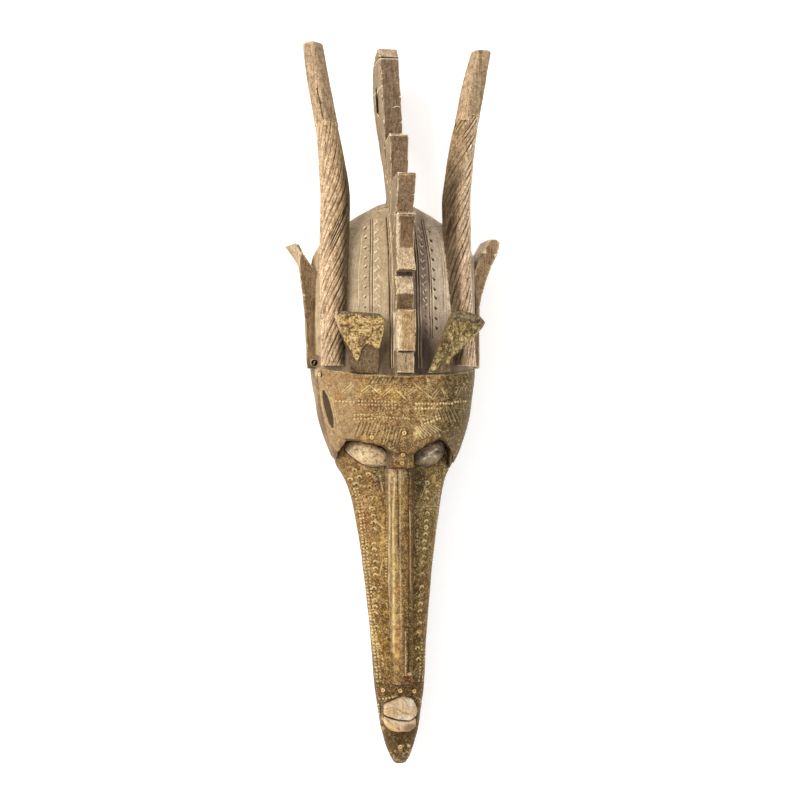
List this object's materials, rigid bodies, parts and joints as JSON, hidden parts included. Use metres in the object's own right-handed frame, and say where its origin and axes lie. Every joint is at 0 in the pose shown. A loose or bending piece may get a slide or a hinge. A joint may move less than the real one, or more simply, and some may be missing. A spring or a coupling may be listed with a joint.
{
  "type": "carved face mask",
  "caption": "Long carved wooden face mask with twisted side horns, a hooked comb and a tall rear board, dressed with punched brass sheets, lying on its hollow back.",
  "frame": {"origin": "middle of the bounding box's bottom face, on the plane the back rim lies on", "axes": "+Y from the chin to the horn tips, +Z out of the face, +X to the viewer's right"},
  "size_m": [0.2156, 0.715, 0.1255],
  "materials": {
    "wood": "dry weathered carving with worn edges",
    "olive_brass": "dulled olive brown sheet, punched and scratched",
    "red_brass": "dulled coppery sheet, punched and scratched",
    "foil_brass": "crumpled, torn foil with dark spots",
    "pale_metal": "pale crumpled sheet",
    "tack_brass": "worn nail heads",
    "dark_iron": "dark rusted wire"
  },
  "bodies": {
    "root": {"wood_carving": "wood", "forehead_sheet": "olive_brass", "cheek_sheet_left": "red_brass", "cheek_sheet_right": "olive_brass", "nose_sheet": "olive_brass", "chin_sheet": "olive_brass", "horn_foil_left": "foil_brass", "horn_foil_right": "foil_brass", "eye_cover_left": "pale_metal", "eye_cover_right": "pale_metal", "tack_forehead_middle": "tack_brass", "tack_forehead_left": "tack_brass", "tack_nose_root_upper": "tack_brass", "tack_nose_root_lower": "tack_brass", "tack_mouth_left": "tack_brass", "tack_mouth_middle": "tack_brass", "tack_mouth_right": "tack_brass", "tack_chin": "tack_brass", "tack_band_left": "tack_brass", "ear_wire": "dark_iron"}
  },
  "joints": []
}
